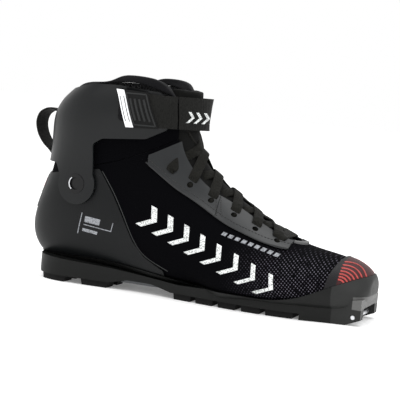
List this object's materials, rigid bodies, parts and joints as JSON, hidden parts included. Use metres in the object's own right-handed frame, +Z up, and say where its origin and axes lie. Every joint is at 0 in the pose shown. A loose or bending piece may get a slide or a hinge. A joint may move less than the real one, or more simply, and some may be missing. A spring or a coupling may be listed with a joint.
{
  "type": "cross country ski boot",
  "caption": "Low laced cross country ski boot with a hinged ankle cuff, an ankle strap that peels open, and a toe bar for the ski binding.",
  "frame": {"origin": "centre of the footprint, on the ground under the boot", "axes": "+X to the toe, +Y to the inner side of the foot, +Z up"},
  "size_m": [0.3016, 0.0964, 0.1748],
  "materials": {
    "sole_plastic": "satin",
    "tread_rubber": "matte",
    "arch_plastic": "gloss",
    "pin_steel": "brushed",
    "softshell": "matte",
    "toe_film": "satin",
    "counter_tpu": "satin",
    "eyestay_tpu": "satin",
    "trim_piping": "matte",
    "tongue_fabric": "matte",
    "lining_fabric": "matte",
    "board": "matte",
    "insole_foam": "matte",
    "mesh": "matte",
    "padding": "matte",
    "lace_cord": "matte",
    "cuff_plastic": "satin",
    "bushing_plastic": "satin",
    "rivet_steel": "brushed",
    "webbing": "matte",
    "grip_rubber": "satin",
    "tip_metal": "satin",
    "hook_tape": "matte",
    "badge_plastic": "gloss"
  },
  "bodies": {
    "boot": {"sole_plate": "sole_plastic", "heel_treads": "tread_rubber", "forefoot_treads": "tread_rubber", "arch_ribs": "arch_plastic", "toe_bar": "pin_steel", "vamp_outer": "softshell", "vamp_inner": "softshell", "quarter_outer": "softshell", "quarter_inner": "softshell", "heel_outer": "softshell", "heel_inner": "softshell", "ankle_shell": "softshell", "toe_guard": "toe_film", "heel_counter": "counter_tpu", "eyestay_upper_outer": "eyestay_tpu", "eyestay_lower_outer": "eyestay_tpu", "eyestay_upper_inner": "eyestay_tpu", "eyestay_lower_inner": "eyestay_tpu", "throat_trim": "trim_piping", "tongue": "tongue_fabric", "foot_lining": "lining_fabric", "ankle_lining": "lining_fabric", "lasting_board": "board", "insole": "insole_foam", "lace": "lace_cord", "pivot_bushings": "bushing_plastic", "pivot_rivets": "rivet_steel", "heel_badge": "badge_plastic"},
    "cuff": {"cuff": "cuff_plastic", "collar_band": "mesh", "collar_lip": "padding", "strap_band": "webbing", "strap_rivet": "rivet_steel", "hook_pad": "hook_tape", "pull_loop": "webbing"},
    "flap": {"strap_flap": "webbing", "strap_grip": "grip_rubber", "strap_tip": "tip_metal"}
  },
  "joints": [
    {"name": "cuff_lean", "type": "hinge", "parent": "boot", "child": "cuff", "pos_m": [-0.095, 0, 0.083], "axis": [0, 1, 0], "range_deg": [-4, 9], "stiffness_Nm_per_rad": 6, "deforming": ["ankle_shell", "tongue", "ankle_lining", "lace"]},
    {"name": "flap_open", "type": "hinge", "parent": "cuff", "child": "flap", "pos_m": [-0.016, -0.028, 0.148], "axis": [0, -0.2071, 0.9783], "range_deg": [0, 100]}
  ]
}
